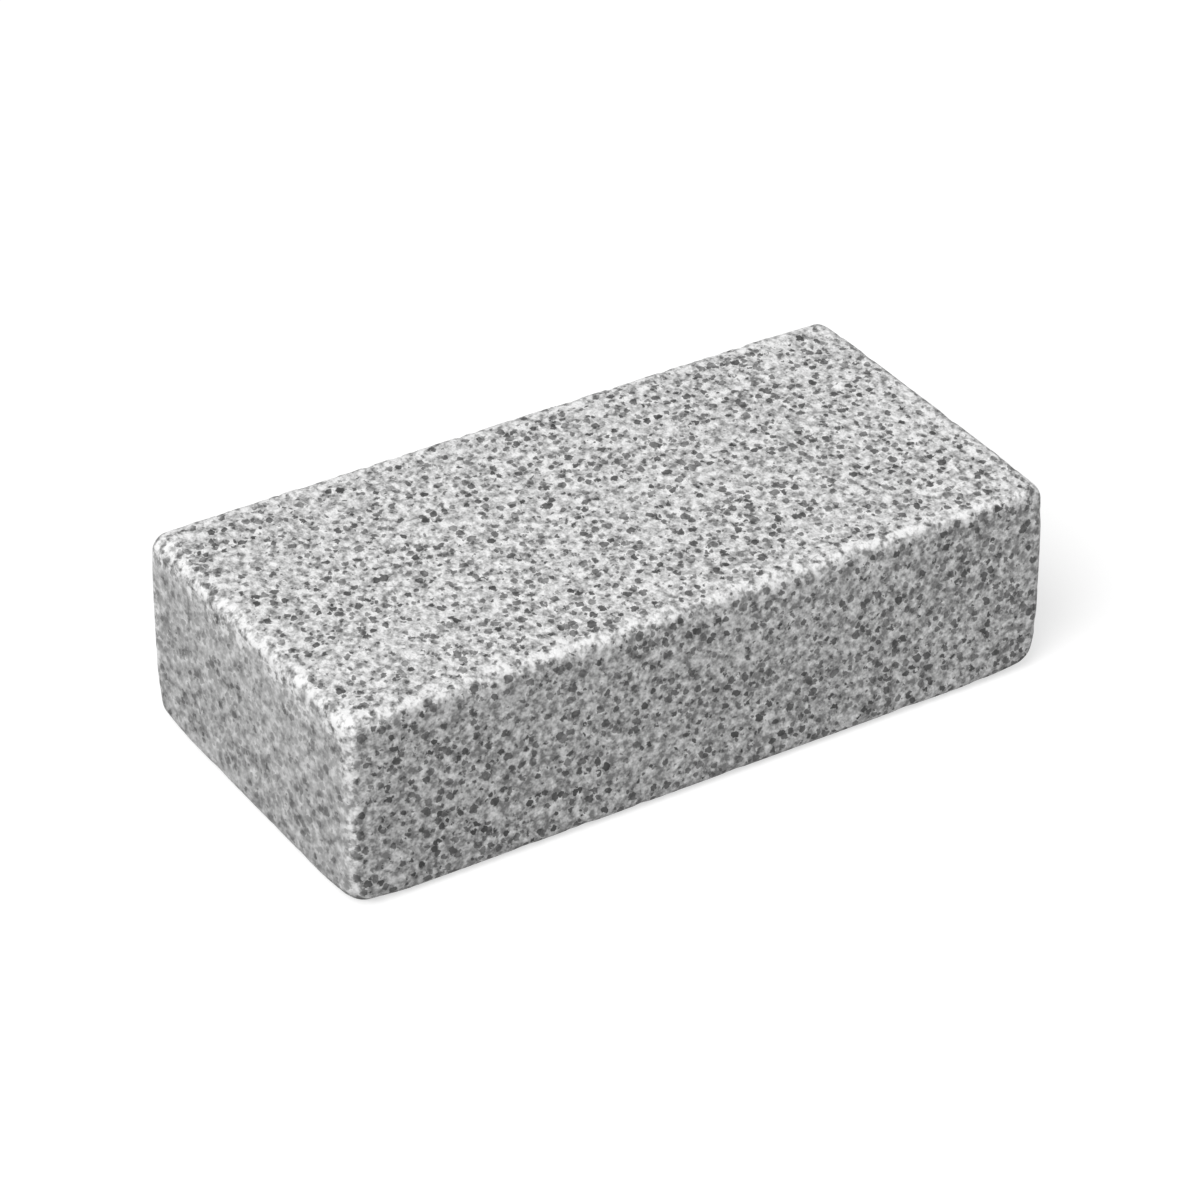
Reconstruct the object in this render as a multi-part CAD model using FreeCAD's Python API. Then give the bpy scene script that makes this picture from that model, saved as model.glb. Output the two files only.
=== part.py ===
import FreeCAD, Part
import os
from FreeCAD import Vector

# A granite sett: one block of sawn stone whose edges, called arrises, are worn round by tumbling.
# Millimetres, +Z up. The origin is the middle of the bed, the face that lies on the ground,
# and +X runs along the length. The tread is the top face, which is walked on.

# Size of the block over its flat faces
LENGTH = 200.0
WIDTH = 100.0
THICKNESS = 54.0

# Radius of the worn arrises along their even middle stretch
TREAD_ARRIS = 3.5
SIDE_ARRIS = 3.0
BED_ARRIS = 4.0

# Radius that the three arrises of a corner grow to, because tumbling knocks the corners hardest
TREAD_CORNER = 4.5
BED_CORNER = 6.5

# Distance from a corner over which the arrises grow, and the largest share of an edge that it takes
CORNER_REACH = 18.0
LARGEST_SHARE = 1.0 / 3.0

# Distance within which two points count as the same place
SAME_PLACE = 1e-6


def sharp_block():
    """The block as it leaves the saw, standing on the origin's plane."""
    return Part.makeBox(LENGTH, WIDTH, THICKNESS, Vector(-LENGTH / 2, -WIDTH / 2, 0))


def divided_edge(start, end):
    """A corner, and the two ends of the even stretch of the edge that runs from it to the next corner."""
    run = end - start
    reach = min(CORNER_REACH, LARGEST_SHARE * run.Length)
    along = run.normalize() * reach
    return [start, start + along, end - along]


def divided_face(face):
    """A flat face with each of its edges divided where the wear of the corners begins."""
    corners = [vertex.Point for vertex in face.OuterWire.OrderedVertexes]
    outline = []
    for start, end in zip(corners, corners[1:] + corners[:1]):
        outline += divided_edge(start, end)
    return Part.Face(Part.makePolygon(outline + outline[:1]))


def divided_block(block):
    """The sharp block as a solid whose edges are divided into a middle and two ends."""
    shell = Part.Shell([divided_face(face) for face in block.Faces])
    shell.sewShape()
    return Part.Solid(shell)


def wear_radius(point, corners):
    """Radius of the rounding at a point on the edges of the block."""
    at_corner = any(point.isEqual(corner, SAME_PLACE) for corner in corners)
    if point.z > THICKNESS - SAME_PLACE:
        return TREAD_CORNER if at_corner else TREAD_ARRIS
    if point.z < SAME_PLACE:
        return BED_CORNER if at_corner else BED_ARRIS
    return SIDE_ARRIS


def worn_block():
    """The block with every edge rounded, each stretch by a radius that runs from one end's to the other's."""
    block = sharp_block()
    corners = [vertex.Point for vertex in block.Vertexes]
    document = FreeCAD.newDocument("granite_sett")
    sawn = document.addObject("Part::Feature", "sawn_block")
    sawn.Shape = divided_block(block)
    worn = document.addObject("Part::Fillet", "worn_arrises")
    worn.Base = sawn
    radii = []
    for number, edge in enumerate(sawn.Shape.Edges, start=1):
        first = wear_radius(edge.valueAt(edge.FirstParameter), corners)
        last = wear_radius(edge.valueAt(edge.LastParameter), corners)
        radii.append((number, first, last))
    worn.Edges = radii
    document.recompute()
    return worn.Shape.Solids[0]


os.makedirs("parts", exist_ok=True)
worn_block().exportStep("parts/granite_sett.step")
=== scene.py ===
import itertools
import math

import bpy
import numpy as np
from bpy.props import FloatProperty, FloatVectorProperty, PointerProperty
from mathutils import Euler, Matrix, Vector


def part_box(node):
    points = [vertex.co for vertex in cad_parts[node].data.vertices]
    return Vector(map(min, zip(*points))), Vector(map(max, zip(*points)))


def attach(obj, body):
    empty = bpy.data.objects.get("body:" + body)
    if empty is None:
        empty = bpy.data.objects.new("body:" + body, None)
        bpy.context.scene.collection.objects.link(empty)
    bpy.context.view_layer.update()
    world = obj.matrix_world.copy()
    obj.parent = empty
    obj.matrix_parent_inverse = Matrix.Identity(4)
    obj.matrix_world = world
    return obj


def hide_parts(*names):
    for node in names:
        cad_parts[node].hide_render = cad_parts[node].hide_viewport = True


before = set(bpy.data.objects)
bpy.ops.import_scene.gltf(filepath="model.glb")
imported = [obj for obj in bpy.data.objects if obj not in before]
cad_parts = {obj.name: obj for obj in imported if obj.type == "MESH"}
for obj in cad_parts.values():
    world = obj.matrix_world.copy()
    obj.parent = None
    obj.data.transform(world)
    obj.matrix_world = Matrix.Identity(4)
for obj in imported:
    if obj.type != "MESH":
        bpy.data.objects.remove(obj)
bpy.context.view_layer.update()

bl_info = {
    "name": "Granite sett",
    "version": (1, 0, 0),
    "blender": (4, 5, 0),
    "location": "3D View > Sidebar > Granite sett",
    "description": "Makes one granite sett with a bush-hammered tread and worn arrises, on a plain stage",
    "category": "Object",
}

NODE = "granite_sett"
BODY = "root"
BLOCK_LOW, BLOCK_HIGH = (np.array(corner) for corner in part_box(NODE))
MM = 0.001

# Angles that turn every noise against the block, so that no face or edge lies along its lattice
GRAIN_TURN = (0.5, 0.9, 0.4)
TURN = np.array(Euler(GRAIN_TURN).to_matrix())

# Numbers that scatter the cells of a noise and mix their bits
CELL_PRIMES = np.array((73856093, 19349663, 83492791), np.uint32)
SEED_STEP = 40503
SEED_START = 977
MIX_SHIFTS = (16, 13, 16)
MIX_PRIME = np.uint32(2246822519)
LARGEST_HASH = 0xFFFFFFFF

# Relief: a seed for each noise, the weights of the two in the dents and of the two in the chips,
# and the level of the noise from which a chip breaks out
PICK_SEED, HOLLOW_SEED, WAVE_SEED, CHIP_SEED, CHIP_GROUP_SEED = range(1, 6)
PICK_WEIGHT = 0.6
HOLLOW_WEIGHT = 0.4
CHIP_WEIGHT = 1.0
CHIP_GROUP_WEIGHT = 0.5
CHIP_LEVEL = 0.15

# Largest part of a normal that points half way between two faces
HALF_ROUND = math.sqrt(0.5)

# Border of the hammered tread: how far a point faces up where the tread starts and where it is whole,
# and the noises that make the border ragged, each as its weight, width and seed
TREAD_BORDER = (0.7, 0.92)
TREAD_RAGGED = ((0.22, 3.6 * MM, 11), (0.14, 1.6 * MM, 12))

# Border of the crushed rims: the shares of their width between which they end, and the noises that make
# it ragged
RIM_BORDER = (0.35, 1.0)
RIM_RAGGED = ((0.3, 9.0 * MM, 20), (0.3, 4.0 * MM, 21), (0.2, 1.7 * MM, 22))

# Strength of the rims low on the sides, and the shares of the height between which it grows to 1
LOW_RIM = 0.62
RIM_GROWTH = (0.55, 1.0)

# Distances from the long sides, in widths of the tread's rim, between which that rim's gain in strength ends
LONG_GAIN_END = (1.0, 2.0)

# Where each mineral stands on the row from dark to pale, which a noise runs along
MINERAL_STARTS = {"smoky_quartz": 0.42, "quartz": 0.50, "grey_feldspar": 0.56, "feldspar": 0.62,
                  "pale_feldspar": 0.70, "white_feldspar": 0.80}

# Middle of a colour noise, and how strong the fine layers are in the noise that groups the crystals
NOISE_MIDDLE = (0.5, 0.5, 0.5)
GROUP_ROUGHNESS = 0.7

# Bends in the grain's outlines, in widths of a crystal: their width, and their reach on crystals and on mica
BEND_WIDTH = 1.5
CRYSTAL_BEND = 0.55
MICA_BEND = 1.8

# Mica flakes, in shares of the distance between them: how far they scatter, the size of the smallest
# without a cloud, the growth from it to the largest, what a cloud adds at most, how far crystals nibble
# them, and the band over which their edge fades
MICA_SCATTER = 0.9
MICA_SMALLEST = -0.025
MICA_GROWTH = 0.42
MICA_CLOUD = 0.33
MICA_NIBBLE = 0.2
MICA_EDGE = (0.05, 0.15)

# Power that makes large mica flakes rare, and the darkness of the faintest flake
MICA_RARITY = 1.2
MICA_FAINTEST = 0.67

# Patches of crushed stone: the noise from the barest to the fullest, and the cover of the barest
PATCH_RANGE = (0.38, 0.58)
PATCH_LEAST = 0.3

# The saw's film: the noise from its thinnest to its thickest patches, and what the crushed rims add to it
FILM_RANGE = (0.35, 0.65)
RIM_DUST = 0.5

# Dull as sawn and hammered stone, with the refraction of quartz and feldspar
STONE_ROUGHNESS = 0.75
STONE_IOR = 1.54

# Colour of the even light
WHITE = (1.0, 1.0, 1.0, 1.0)

# Half the floor's width and the places of the light and the camera, in metres, and the sensor's width in mm
FLOOR_REACH = 4.0
KEY_PLACE = (-0.55, -0.295, 0.80)
CAMERA_PLACE = (-0.572, -0.915, 0.732)
SENSOR_WIDTH = 36.0


def linear(hex_colour):
    """An sRGB hex colour as the linear red, green and blue that a shader works in, by the sRGB curve."""
    channels = [int(hex_colour[place:place + 2], 16) / 255 for place in (1, 3, 5)]
    return tuple(c / 12.92 if c <= 0.04045 else ((c + 0.055) / 1.055) ** 2.4 for c in channels)


def opaque(tone):
    """A colour with full cover, as a colour socket takes it."""
    return (*tone, 1.0)


def length(name, description, millimetres):
    """A length property, given in millimetres and kept in metres."""
    return FloatProperty(name=name, description=description, default=millimetres * MM, min=0.0,
                         precision=5, unit="LENGTH")


def angle(name, description, degrees):
    """An angle property, given in degrees and kept in radians."""
    return FloatProperty(name=name, description=description, default=math.radians(degrees), subtype="ANGLE")


def number(name, description, default):
    """A plain number property, from 0 up."""
    return FloatProperty(name=name, description=description, default=default, min=0.0, precision=3)


def colour(name, description, hex_colour):
    """A colour property, given as sRGB hex and kept linear."""
    return FloatVectorProperty(name=name, description=description, default=linear(hex_colour),
                               size=3, min=0.0, max=1.0, subtype="COLOR")


class SettSizes(bpy.types.PropertyGroup):
    """Sizes of the sett's wear and tooling. The block itself has the size of the frame's node."""

    tread_arris: length("Tread arris", "Radius of the worn edges of the top face", 3.5)
    side_arris: length("Side arris", "Radius of the worn upright edges", 3.0)
    bed_arris: length("Bed arris", "Radius of the worn edges of the underside", 4.0)
    tread_corner: length("Tread corner", "Radius that the edges grow to at a top corner", 4.5)
    bed_corner: length("Bed corner", "Radius that the edges grow to at a bottom corner", 6.5)
    corner_reach: length("Corner reach", "Distance from a corner over which the edges grow", 18.0)
    spacing: length("Mesh spacing", "Distance between the points of the surface", 0.78)
    side_spacing: length("Side spacing", "Distance between the rows of points half way up the sides", 1.7)
    pick_mark: length("Pick mark", "Width of the small dents that the bush hammer leaves", 1.9)
    pick_hollow: length("Pick hollow", "Width of the wide dents that the bush hammer leaves", 4.2)
    pick_depth: length("Pick depth", "Depth of the dents that the bush hammer leaves", 0.7)
    saw_wave: length("Saw wave", "Width of the faint waves that the saw leaves", 14.0)
    saw_depth: length("Saw depth", "Depth of the faint waves that the saw leaves", 0.06)
    chip: length("Chip", "Width of the chips along the edges", 3.2)
    chip_group: length("Chip group", "Width of the groups that the chips make", 7.0)
    chip_depth: length("Chip depth", "Depth of the chips along the edges", 0.45)
    end_rim_tread: length("End rim, top", "Width of the ends' crushed rim, below the tread", 8.5)
    end_rim_side: length("End rim, sides", "Width of the ends' crushed rim, at the upright edges", 4.6)
    side_rim_tread: length("Side rim, top", "Width of the long sides' crushed rim, below the tread", 0.8)
    side_rim_end: length("Side rim, ends", "Width of the long sides' crushed rim, at the upright edges", 3.4)
    tread_rim_end: length("Tread rim, ends", "Width of the tread's crushed rim, at the ends", 6.8)
    tread_rim_side: length("Tread rim, sides", "Width of the tread's crushed rim, at the long sides", 5.4)
    side_crush: number("Side crush", "Strength of the long sides' crushed rim, for 1 on the ends", 0.42)
    tread_crush: number("Tread crush", "Strength of the tread's crushed rim, for 1 on the ends", 0.35)
    long_crush: number("Long edge crush", "Strength that the tread's rim gains beside the long sides", 0.5)
    # Painted shade: the stone is paler higher up and darker further down on every face, for the light that
    # reaches it less low on the sides
    painted_low_shade: number("Dusting", "Crushing that the hammer's dust adds at the top, less further down", 0.13)
    end_film: number("End film", "Cover of the thin dry film that sawing leaves on the ends", 0.55)
    side_film: number("Side film", "Cover of the thin dry film that sawing leaves on the long sides", 0.08)


class SettLooks(bpy.types.PropertyGroup):
    """Grain sizes and mineral colours of the granite."""

    crystal: length("Crystal", "Width of a single crystal", 0.97)
    cluster: length("Cluster", "Width of the groups that like crystals make", 2.12)
    flake: length("Mica flake", "Distance between flakes of mica", 2.18)
    cloud: length("Mineral cloud", "Width of the clouds in which dark minerals gather", 13.0)
    dust: length("Dust patch", "Width of the patches in the saw film", 3.0)
    stroke: number("Saw stroke", "Length of a patch in the saw film along the strokes for its width", 1.8)
    stroke_dip: angle("Stroke dip", "Angle by which the saw's strokes run down towards the back", 35.5)
    pit: length("Pit", "Width of the fine pits on the tread", 1.05)
    pit_depth: length("Pit depth", "Depth of the fine pits on the tread", 0.5)
    rift: angle("Rift", "Angle of the stone's rift from the block's width", 32.0)
    dip: angle("Dip", "Angle by which the stone's rift runs down towards the back", 33.0)
    stretch: number("Stretch", "Length of the grain along the rift for its length across it", 1.35)
    own_tone: number("Own tone", "How far a crystal strays from its group along the row of minerals", 0.12)
    tread_shift: number("Tread shift", "Shift of the tread towards the pale minerals", 0.068)
    rim_shift: number("Rim shift", "Shift of the crushed rims towards the pale minerals", 0.17)
    rim_mica: number("Rim mica", "Share of the mica that crushing hides on the rims", 0.9)
    mica: colour("Mica", "Black mica flakes", "#202020")
    smoky_quartz: colour("Smoky quartz", "Darkest quartz", "#7A7A7A")
    quartz: colour("Quartz", "Grey quartz", "#9A9A9A")
    grey_feldspar: colour("Grey feldspar", "Feldspar in the shade of its cleavage", "#B5B5B5")
    feldspar: colour("Feldspar", "Pale feldspar", "#C9C9C9")
    pale_feldspar: colour("Pale feldspar", "Whiter feldspar", "#DEDEDE")
    white_feldspar: colour("White feldspar", "Whitest feldspar", "#F6F6F6")
    film: colour("Saw film", "Thin patches of the dry dust left by the saw", "#606060")
    pale_film: colour("Pale saw film", "Thick patches of the dry dust left by the saw", "#D3D3D3")


class StageLooks(bpy.types.PropertyGroup):
    """Floor, light and camera."""

    floor: colour("Floor", "Pale studio floor", "#B4B4B4")
    floor_lift: number("Floor lift", "Light added to the floor as the camera sees it", 0.64)
    sky_level: number("Sky level", "Strength of the even light", 0.345)
    key_level: number("Key light", "Strength of the soft key light", 2.45)
    key_spread: angle("Key spread", "Angle that the soft key light fills", 35.0)
    lens: FloatProperty(name="Lens", description="Focal length", default=155.0, min=1.0, unit="CAMERA")


def smooth_step(low, high, value):
    """0 below low and 1 above high, with a curve between that is level at both ends."""
    part = np.clip((value - low) / (high - low), 0.0, 1.0)
    return part * part * (3.0 - 2.0 * part)


def cell_hash(cells, seed):
    """A number from 0 to 1 for each cell: its whole coordinates times large primes, mixed by shifts."""
    key = cells.astype(np.int64).astype(np.uint32)
    mixed = np.bitwise_xor.reduce(key * CELL_PRIMES, axis=-1) ^ np.uint32(seed * SEED_STEP + SEED_START)
    for shift in MIX_SHIFTS:
        mixed = (mixed ^ (mixed >> np.uint32(shift))) * MIX_PRIME
    return mixed.astype(float) / LARGEST_HASH


def smooth_noise(points, width, seed):
    """Noise from -1 to 1: hashed values at the corners of a turned lattice, blended by a quintic curve."""
    place = points @ TURN / width
    cell = np.floor(place)
    part = place - cell
    ease = part ** 3 * (part * (part * 6.0 - 15.0) + 10.0)
    total = np.zeros(len(points))
    for corner in itertools.product((0, 1), repeat=3):
        weight = np.where(corner, ease, 1.0 - ease).prod(axis=1)
        total += weight * cell_hash(cell + corner, seed)
    return 2.0 * total - 1.0


def layered_noise(points, *layers):
    """Sum of smooth noises, each given as its weight, width and seed."""
    return sum(weight * smooth_noise(points, width, seed) for weight, width, seed in layers)


def as_share(noise):
    """A noise from -1 to 1 as a share from 0 to 1."""
    return 0.5 + 0.5 * noise


def block_grid(counts):
    """Lattice points on the six faces of a block and the quads between them, welded where faces meet.

    Each face is a grid of two running coordinates, with the third held at its low or its high end.
    """
    points = []
    quads = []
    made = 0
    for axis in range(3):
        first, second = (axis + 1) % 3, (axis + 2) % 3
        u, v = np.meshgrid(np.arange(counts[first] + 1), np.arange(counts[second] + 1), indexing="ij")
        for end in (0, counts[axis]):
            face = np.empty((u.size, 3), int)
            face[:, axis] = end
            face[:, first] = u.ravel()
            face[:, second] = v.ravel()
            index = made + np.arange(u.size).reshape(u.shape)
            quad = np.stack([index[:-1, :-1], index[1:, :-1], index[1:, 1:], index[:-1, 1:]], axis=-1)
            quad = quad.reshape(-1, 4)
            points.append(face)
            quads.append(quad if end else quad[:, ::-1])
            made += u.size
    welded, place = np.unique(np.concatenate(points), axis=0, return_inverse=True)
    return welded, place.reshape(-1)[np.concatenate(quads)]


def even_ticks(low, high, spacing):
    """Evenly spaced places from low to high."""
    return np.linspace(low, high, round((high - low) / spacing) + 1)


def graded_rows(sizes):
    """Heights of the rows of points: close together in the worn bands at both ends, wider between them."""
    low, high = BLOCK_LOW[2], BLOCK_HIGH[2]
    bed_end = low + sizes.bed_corner
    tread_start = high - sizes.bed_corner
    rows = (even_ticks(low, bed_end, sizes.spacing),
            even_ticks(bed_end, tread_start, sizes.side_spacing)[1:-1],
            even_ticks(tread_start, high, sizes.spacing))
    return np.concatenate(rows)


def wear_radius(sharp, sizes):
    """Radius of the rounding near each point of the sharp block.

    The upright edges' radius gives way to the tread's or the bed's with height, and near a corner
    it grows towards the corner's radius with the distance from that corner.
    """
    from_faces = np.minimum(sharp - BLOCK_LOW, BLOCK_HIGH - sharp)
    near_corner = 1.0 - smooth_step(0.0, sizes.corner_reach, np.linalg.norm(from_faces, axis=1))
    near_tread = 1.0 - smooth_step(0.0, sizes.corner_reach, BLOCK_HIGH[2] - sharp[:, 2])
    near_bed = 1.0 - smooth_step(0.0, sizes.corner_reach, sharp[:, 2] - BLOCK_LOW[2])
    radius = np.full(len(sharp), sizes.side_arris)
    for arris, corner, near in ((sizes.tread_arris, sizes.tread_corner, near_tread),
                                (sizes.bed_arris, sizes.bed_corner, near_bed)):
        level = arris + (corner - arris) * near_corner
        radius += (level - radius) * near
    return radius


def worn_block(sharp, sizes):
    """Points and outward normals of the worn block.

    A point of the sharp block is pulled to the nearest place at least one radius inside every face,
    and then pushed out again by that radius along the line between the two.
    """
    radius = wear_radius(sharp, sizes)[:, None]
    inside = np.clip(sharp, BLOCK_LOW + radius, BLOCK_HIGH - radius)
    normal = sharp - inside
    normal /= np.linalg.norm(normal, axis=1, keepdims=True)
    return inside + radius * normal, normal


def tread_cover(points, normals):
    """1 on the hammered tread and 0 on the sawn sides, by how far a point faces up, with a ragged border."""
    return smooth_step(*TREAD_BORDER, normals[:, 2] + layered_noise(points, *TREAD_RAGGED))


def rim_wear_and_shade(sharp, points, normals, sizes):
    """How far the stone is crushed: most beside the edges of the block, and little away from them.

    The distance from each face is divided by the width of the rim along that face's edges, and the second
    smallest result counts, because the smallest is that of the point's own face. Heights count from the
    tread alone, so no rim runs along the bed. The way a point faces decides its widths and its strength,
    and the tread's rim is stronger beside the long sides. The rims are ragged at three widths and weaker
    low on the sides. Painted shade is added on all faces: they grow paler higher up and darker further
    down, for the light that reaches the lower stone less.
    """
    from_faces = np.minimum(sharp - BLOCK_LOW, BLOCK_HIGH - sharp)
    from_faces[:, 2] = BLOCK_HIGH[2] - sharp[:, 2]
    # Rows for points on an end, a long side and the tread; columns for the edges of those three faces,
    # with a millimetre where a face would meet itself
    widths = np.array([(MM, sizes.end_rim_side, sizes.end_rim_tread),
                       (sizes.side_rim_end, MM, sizes.side_rim_tread),
                       (sizes.tread_rim_end, sizes.tread_rim_side, MM)])
    facing = normals ** 2
    from_edge = np.sort(from_faces / (facing @ widths), axis=1)[:, 1]
    rim = 1.0 - smooth_step(*RIM_BORDER, from_edge + layered_noise(points, *RIM_RAGGED))
    height = (points[:, 2] - BLOCK_LOW[2]) / (BLOCK_HIGH[2] - BLOCK_LOW[2])
    fade = LOW_RIM + (1.0 - LOW_RIM) * smooth_step(*RIM_GROWTH, height)
    beside_long = 1.0 - smooth_step(*LONG_GAIN_END, from_faces[:, 1] / sizes.tread_rim_side)
    crush = facing @ (1.0, sizes.side_crush, sizes.tread_crush)
    crush += facing[:, 2] * sizes.long_crush * beside_long
    # Painted shade added to the crushed rims: paler higher up and darker further down
    return rim * fade * crush + sizes.painted_low_shade * height


def relief(points, normals, tread, sizes):
    """Depth of the surface below the worn block.

    The tread has dents of two widths, the sawn faces have faint waves, and the arrises have chips
    where a noise of two widths rises above a level.
    """
    dents = layered_noise(points, (PICK_WEIGHT, sizes.pick_mark, PICK_SEED),
                          (HOLLOW_WEIGHT, sizes.pick_hollow, HOLLOW_SEED))
    waves = smooth_noise(points, sizes.saw_wave, WAVE_SEED)
    chips = layered_noise(points, (CHIP_WEIGHT, sizes.chip, CHIP_SEED),
                          (CHIP_GROUP_WEIGHT, sizes.chip_group, CHIP_GROUP_SEED)) - CHIP_LEVEL
    # 0 on a flat face and 1 half way round an edge
    arris = np.clip((1.0 - np.abs(normals).max(axis=1)) / (1.0 - HALF_ROUND), 0.0, 1.0)
    depth = tread * sizes.pick_depth * as_share(dents)
    depth += (1.0 - tread) * sizes.saw_depth * as_share(waves)
    return depth + arris * sizes.chip_depth * np.clip(chips, 0.0, 1.0)


def fill_mesh(name, points, quads, attributes):
    """A smooth-shaded mesh from arrays of points and quads, with the named numbers of each point."""
    mesh = bpy.data.meshes.new(name)
    mesh.vertices.add(len(points))
    mesh.vertices.foreach_set("co", points.ravel())
    mesh.loops.add(quads.size)
    mesh.loops.foreach_set("vertex_index", quads.ravel())
    mesh.polygons.add(len(quads))
    mesh.polygons.foreach_set("loop_start", np.arange(0, quads.size, 4))
    for attribute, values in attributes.items():
        layer = mesh.attributes.new(attribute, "FLOAT", "POINT")
        layer.data.foreach_set("value", values)
    mesh.update(calc_edges=True)
    mesh.validate()
    mesh.shade_smooth()
    return mesh


def put(name, data):
    """A new object at the origin, in the scene."""
    made = bpy.data.objects.new(name, data)
    bpy.context.scene.collection.objects.link(made)
    return made


def node(tree, kind, settings, inputs):
    """Adds a node, sets its settings, and fills its inputs: a socket is linked and a value is set."""
    made = tree.nodes.new(kind)
    for name, value in settings.items():
        setattr(made, name, value)
    for name, value in inputs.items():
        socket = made.inputs[name]
        if isinstance(value, bpy.types.NodeSocket):
            tree.links.new(value, socket)
        else:
            socket.default_value = value
    return made


def new_tree(owner):
    """The emptied node tree of a material or world."""
    owner.use_nodes = True
    owner.node_tree.nodes.clear()
    return owner.node_tree


def mineral_colour(tree, kind, looks):
    """Colour of the mineral at a place on the row that runs from smoky quartz to white feldspar."""
    ramp = node(tree, "ShaderNodeValToRGB", {}, {"Fac": kind})
    elements = ramp.color_ramp.elements
    while len(elements) < len(MINERAL_STARTS):
        elements.new(1.0)
    for element, (mineral, start) in zip(elements, MINERAL_STARTS.items()):
        element.position = start
        element.color = opaque(getattr(looks, mineral))
    return ramp.outputs["Color"]


def mica_cover(tree, place, shift, crystal_number, looks):
    """Where mica lies: one flake in each cell of a mosaic, bent out of round by a noise's shift.

    A flake's size is random, with few large ones, and grows in loose clouds. The single crystals nibble
    its outline, each by its own random number, and its darkness is random too.
    """
    shift = node(tree, "ShaderNodeVectorMath", {"operation": "SCALE"},
                 {0: shift, "Scale": MICA_BEND * looks.crystal})
    bent = node(tree, "ShaderNodeVectorMath", {"operation": "ADD"}, {0: place, 1: shift.outputs[0]})
    flakes = node(tree, "ShaderNodeTexVoronoi", {},
                  {"Vector": bent.outputs[0], "Scale": 1 / looks.flake, "Randomness": MICA_SCATTER})
    flake = node(tree, "ShaderNodeSeparateColor", {}, {"Color": flakes.outputs["Color"]})
    cloud = node(tree, "ShaderNodeTexNoise", {}, {"Vector": place, "Scale": 1 / looks.cloud, "Detail": 1.0})
    size = node(tree, "ShaderNodeMath", {"operation": "POWER"}, {0: flake.outputs["Red"], 1: MICA_RARITY})
    size = node(tree, "ShaderNodeMath", {"operation": "MULTIPLY_ADD"},
                {0: size.outputs[0], 1: MICA_GROWTH, 2: MICA_SMALLEST})
    size = node(tree, "ShaderNodeMath", {"operation": "MULTIPLY_ADD"},
                {0: cloud.outputs["Fac"], 1: MICA_CLOUD, 2: size.outputs[0]})
    outside = node(tree, "ShaderNodeMath", {"operation": "SUBTRACT"},
                   {0: flakes.outputs["Distance"], 1: size.outputs[0]})
    outside = node(tree, "ShaderNodeMath", {"operation": "MULTIPLY_ADD"},
                   {0: crystal_number, 1: MICA_NIBBLE, 2: outside.outputs[0]})
    cover = node(tree, "ShaderNodeMapRange", {"interpolation_type": "SMOOTHSTEP"},
                 {"Value": outside.outputs[0], "From Min": MICA_EDGE[0], "From Max": MICA_EDGE[1],
                  "To Min": 1.0, "To Max": 0.0})
    darkness = node(tree, "ShaderNodeMapRange", {},
                    {"Value": flake.outputs["Green"], "To Min": MICA_FAINTEST, "To Max": 1.0})
    return node(tree, "ShaderNodeMath", {"operation": "MULTIPLY"},
                {0: cover.outputs[0], 1: darkness.outputs[0]}).outputs[0]


def film_colour(tree, block, rim, looks):
    """Colour of the saw's film: thin and thick patches along its slanting strokes, thicker on the rims and,
    as painted shade, a little thicker higher up.
    """
    drawn = node(tree, "ShaderNodeMapping", {"vector_type": "TEXTURE"},
                 {"Vector": block, "Rotation": (-looks.stroke_dip, 0.0, 0.0),
                  "Scale": (1.0, looks.stroke, 1.0)})
    dust = node(tree, "ShaderNodeTexNoise", {},
                {"Vector": drawn.outputs[0], "Scale": 1 / looks.dust, "Detail": 2.0})
    dust = node(tree, "ShaderNodeMath", {"operation": "MULTIPLY_ADD"},
                {0: rim, 1: RIM_DUST, 2: dust.outputs["Fac"]})
    thick = node(tree, "ShaderNodeMapRange", {},
                 {"Value": dust.outputs[0], "From Min": FILM_RANGE[0], "From Max": FILM_RANGE[1]})
    return node(tree, "ShaderNodeMix", {"data_type": "RGBA"},
                {"Factor": thick.outputs[0], "A": opaque(looks.film),
                 "B": opaque(looks.pale_film)}).outputs["Result"]


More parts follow.
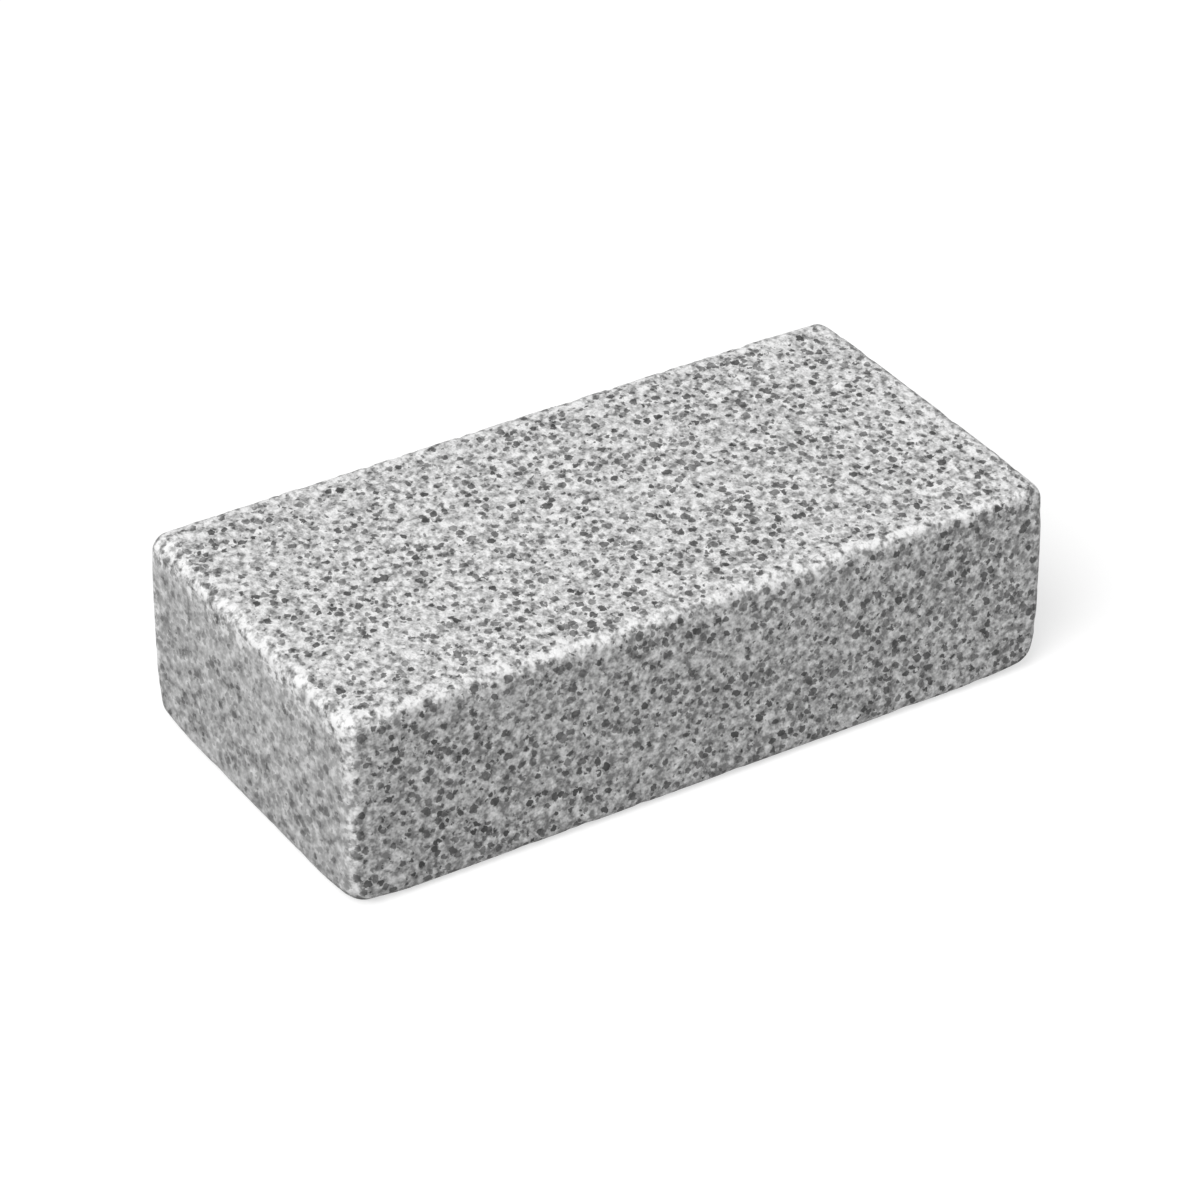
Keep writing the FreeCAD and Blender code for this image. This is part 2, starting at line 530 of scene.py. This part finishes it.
def granite(looks):
    """Light grey granite, bush-hammered on the tread, sawn on the sides and crushed along the arrises.

    The eye sees a close mosaic of white feldspar and grey quartz, peppered with ragged flakes of black
    mica. It is matt all over. The hammered tread is paler than the sawn sides, the crushed rims are
    paler still and show little mica, and a thin dry film dulls the sawn ends.
    """
    material = bpy.data.materials.new("bush-hammered grey granite")
    tree = new_tree(material)
    # The rim attribute carries the crushed rims and the painted shade that darkens the stone further down
    tread, rim, film = (node(tree, "ShaderNodeAttribute", {"attribute_name": name}, {}).outputs["Fac"]
                        for name in ("tread", "rim", "film"))

    # The grain is longer along the rift, and turned so that no face lies along the lattice of its noises
    block = node(tree, "ShaderNodeTexCoord", {}, {}).outputs["Object"]
    place = node(tree, "ShaderNodeMapping", {"vector_type": "TEXTURE"},
                 {"Vector": block, "Rotation": (-looks.dip, 0.0, -looks.rift),
                  "Scale": (1.0, looks.stretch, 1.0)}).outputs[0]
    place = node(tree, "ShaderNodeMapping", {}, {"Vector": place, "Rotation": GRAIN_TURN}).outputs[0]

    # Crystals: cells whose outlines a fine noise bends, each with random numbers of its own
    bend = node(tree, "ShaderNodeTexNoise", {},
                {"Vector": place, "Scale": 1 / (BEND_WIDTH * looks.crystal), "Detail": 2.0})
    shift = node(tree, "ShaderNodeVectorMath", {"operation": "SUBTRACT"},
                 {0: bend.outputs["Color"], 1: NOISE_MIDDLE}).outputs[0]
    bent = node(tree, "ShaderNodeVectorMath", {"operation": "SCALE"},
                {0: shift, "Scale": CRYSTAL_BEND * looks.crystal})
    bent = node(tree, "ShaderNodeVectorMath", {"operation": "ADD"}, {0: place, 1: bent.outputs[0]})
    cells = node(tree, "ShaderNodeTexVoronoi", {}, {"Vector": bent.outputs[0], "Scale": 1 / looks.crystal})
    crystal = node(tree, "ShaderNodeSeparateColor", {}, {"Color": cells.outputs["Color"]})

    # The crushed rims are patchy, and so is the painted shade that comes with them
    powder = node(tree, "ShaderNodeTexNoise", {},
                  {"Vector": place, "Scale": 1 / looks.cluster, "Detail": 3.0})
    patchy = node(tree, "ShaderNodeMapRange", {},
                  {"Value": powder.outputs["Fac"], "From Min": PATCH_RANGE[0], "From Max": PATCH_RANGE[1],
                   "To Min": PATCH_LEAST, "To Max": 1.0})
    crushed = node(tree, "ShaderNodeMath", {"operation": "MULTIPLY"},
                   {0: rim, 1: patchy.outputs[0]}).outputs[0]

    # Quartz and feldspar: a noise gathers like crystals in groups, each crystal strays from its group,
    # and the broken crystals of the tread and of the rims are paler, as is all stone higher up, painted
    # shade that leaves it darker further down
    kind = node(tree, "ShaderNodeTexNoise", {},
                {"Vector": place, "Scale": 1 / looks.cluster, "Detail": 2.0,
                 "Roughness": GROUP_ROUGHNESS}).outputs["Fac"]
    for cause, amount in ((crystal.outputs["Red"], looks.own_tone), (tread, looks.tread_shift),
                          (crushed, looks.rim_shift)):
        kind = node(tree, "ShaderNodeMath", {"operation": "MULTIPLY_ADD"},
                    {0: cause, 1: amount, 2: kind}).outputs[0]

    # Mica: less of it shows where the stone is crushed, and a little less higher up as part of the painted
    # shade
    mica = mica_cover(tree, place, shift, crystal.outputs["Blue"], looks)
    kept = node(tree, "ShaderNodeMath", {"operation": "MULTIPLY_ADD"},
                {0: crushed, 1: -looks.rim_mica, 2: 1.0})
    mica = node(tree, "ShaderNodeMath", {"operation": "MULTIPLY"}, {0: mica, 1: kept.outputs[0]})
    minerals = node(tree, "ShaderNodeMix", {"data_type": "RGBA"},
                    {"Factor": mica.outputs[0], "A": mineral_colour(tree, kind, looks),
                     "B": opaque(looks.mica)})
    finish = node(tree, "ShaderNodeMix", {"data_type": "RGBA"},
                  {"Factor": film, "A": minerals.outputs["Result"],
                   "B": film_colour(tree, block, rim, looks)})

    # Fine pits on the tread, between the dents of the mesh
    pits = node(tree, "ShaderNodeTexNoise", {}, {"Vector": place, "Scale": 1 / looks.pit, "Detail": 3.0})
    height = node(tree, "ShaderNodeMath", {"operation": "MULTIPLY"}, {0: pits.outputs["Fac"], 1: tread})
    bump = node(tree, "ShaderNodeBump", {},
                {"Height": height.outputs[0], "Strength": 1.0, "Distance": looks.pit_depth})
    surface = node(tree, "ShaderNodeBsdfPrincipled", {},
                   {"Base Color": finish.outputs["Result"], "Roughness": STONE_ROUGHNESS, "IOR": STONE_IOR,
                    "Normal": bump.outputs[0]})
    node(tree, "ShaderNodeOutputMaterial", {}, {"Surface": surface.outputs[0]})
    return material


class SETT_OT_stone(bpy.types.Operator):
    """Make the sett: one block of granite with worn arrises and a bush-hammered tread."""

    bl_idname = "sett.stone"
    bl_label = "Make the sett"

    def execute(self, context):
        sizes = context.scene.sett_sizes
        ticks = [even_ticks(BLOCK_LOW[0], BLOCK_HIGH[0], sizes.spacing),
                 even_ticks(BLOCK_LOW[1], BLOCK_HIGH[1], sizes.spacing), graded_rows(sizes)]
        lattice, quads = block_grid([len(tick) - 1 for tick in ticks])
        sharp = np.stack([tick[lattice[:, axis]] for axis, tick in enumerate(ticks)], axis=1)
        points, normals = worn_block(sharp, sizes)
        tread = tread_cover(points, normals)
        rim = rim_wear_and_shade(sharp, points, normals, sizes)
        film = normals ** 2 @ (sizes.end_film, sizes.side_film, 0.0) * (1.0 - rim)
        points = points - relief(points, normals, tread, sizes)[:, None] * normals
        mesh = fill_mesh("granite_sett_stone", points, quads, {"tread": tread, "rim": rim, "film": film})
        mesh.materials.append(granite(context.scene.sett_looks))
        stone = put("granite_sett_stone", mesh)
        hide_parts(NODE)
        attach(stone, BODY)
        return {"FINISHED"}


def seen_ray(tree):
    """1 for what the camera sees, directly, mirrored or through glass, and 0 for what only gives light."""
    ray = node(tree, "ShaderNodeLightPath", {}, {})
    seen = ray.outputs["Is Camera Ray"]
    for kind in ("Is Glossy Ray", "Is Transmission Ray"):
        seen = node(tree, "ShaderNodeMath", {"operation": "MAXIMUM"},
                    {0: seen, 1: ray.outputs[kind]}).outputs[0]
    return seen


def floor_material(looks):
    """Matt white studio paper, lifted to white as the camera sees it, with the sett's soft shadow on it."""
    material = bpy.data.materials.new("matt white paper")
    tree = new_tree(material)
    lift = node(tree, "ShaderNodeMath", {"operation": "MULTIPLY"}, {0: seen_ray(tree), 1: looks.floor_lift})
    paper = node(tree, "ShaderNodeBsdfDiffuse", {}, {"Color": opaque(looks.floor)})
    glow = node(tree, "ShaderNodeEmission", {}, {"Strength": lift.outputs[0]})
    both = node(tree, "ShaderNodeAddShader", {}, {0: paper.outputs[0], 1: glow.outputs[0]})
    node(tree, "ShaderNodeOutputMaterial", {}, {"Surface": both.outputs[0]})
    return material


def sky(looks):
    """Even light from all round, and plain white where the camera sees past the floor."""
    world = bpy.data.worlds.new("studio")
    tree = new_tree(world)
    lit = node(tree, "ShaderNodeBackground", {}, {"Color": WHITE, "Strength": looks.sky_level})
    plain = node(tree, "ShaderNodeBackground", {}, {"Color": WHITE, "Strength": 1.0})
    both = node(tree, "ShaderNodeMixShader", {},
                {0: seen_ray(tree), 1: lit.outputs[0], 2: plain.outputs[0]})
    node(tree, "ShaderNodeOutputWorld", {}, {"Surface": both.outputs[0]})
    return world


def aim(thing, place, target):
    """Puts a lamp or camera at a place and points it at a target."""
    thing.location = place
    thing.rotation_euler = (Vector(target) - Vector(place)).to_track_quat("-Z", "Y").to_euler()


class SETT_OT_stage(bpy.types.Operator):
    """Set the stage: pale floor, soft light from the upper left and a camera at the photograph's angle."""

    bl_idname = "sett.stage"
    bl_label = "Set the stage"

    def execute(self, context):
        scene = context.scene
        looks = scene.sett_stage
        centre = (BLOCK_LOW + BLOCK_HIGH) / 2
        corners = FLOOR_REACH * np.array([(-1.0, -1.0, 0.0), (1.0, -1.0, 0.0),
                                          (1.0, 1.0, 0.0), (-1.0, 1.0, 0.0)])
        floor = put("studio_floor", fill_mesh("studio_floor", corners, np.array([[0, 1, 2, 3]]), {}))
        floor.data.materials.append(floor_material(looks))

        scene.world = sky(looks)
        lamp = bpy.data.lights.new("soft_key", "SUN")
        lamp.angle = looks.key_spread
        lamp.energy = looks.key_level
        aim(put("soft_key", lamp), KEY_PLACE, centre)

        camera = bpy.data.cameras.new("photo_camera")
        camera.lens = looks.lens
        camera.sensor_width = SENSOR_WIDTH
        stand = put("photo_camera", camera)
        aim(stand, CAMERA_PLACE, centre)
        scene.camera = stand
        scene.view_settings.view_transform = "Standard"
        return {"FINISHED"}


class SETT_PT_panel(bpy.types.Panel):
    """Sidebar panel with the sett's steps and settings."""

    bl_idname = "SETT_PT_panel"
    bl_label = "Granite sett"
    bl_space_type = "VIEW_3D"
    bl_region_type = "UI"
    bl_category = "Granite sett"

    def draw(self, context):
        for step in (SETT_OT_stone, SETT_OT_stage):
            self.layout.operator(step.bl_idname)
        for group in (context.scene.sett_sizes, context.scene.sett_looks, context.scene.sett_stage):
            box = self.layout.box()
            for name in group.__annotations__:
                box.prop(group, name)


CLASSES = (SettSizes, SettLooks, StageLooks, SETT_OT_stone, SETT_OT_stage, SETT_PT_panel)


def register():
    """Adds the classes and the scene's settings."""
    for kind in CLASSES:
        bpy.utils.register_class(kind)
    bpy.types.Scene.sett_sizes = PointerProperty(type=SettSizes)
    bpy.types.Scene.sett_looks = PointerProperty(type=SettLooks)
    bpy.types.Scene.sett_stage = PointerProperty(type=StageLooks)


def unregister():
    """Takes the settings and the classes away again."""
    del bpy.types.Scene.sett_stage
    del bpy.types.Scene.sett_looks
    del bpy.types.Scene.sett_sizes
    for kind in reversed(CLASSES):
        bpy.utils.unregister_class(kind)


def main():
    register()
    bpy.ops.sett.stone()
    bpy.ops.sett.stage()


if __name__ == "__main__":
    main()
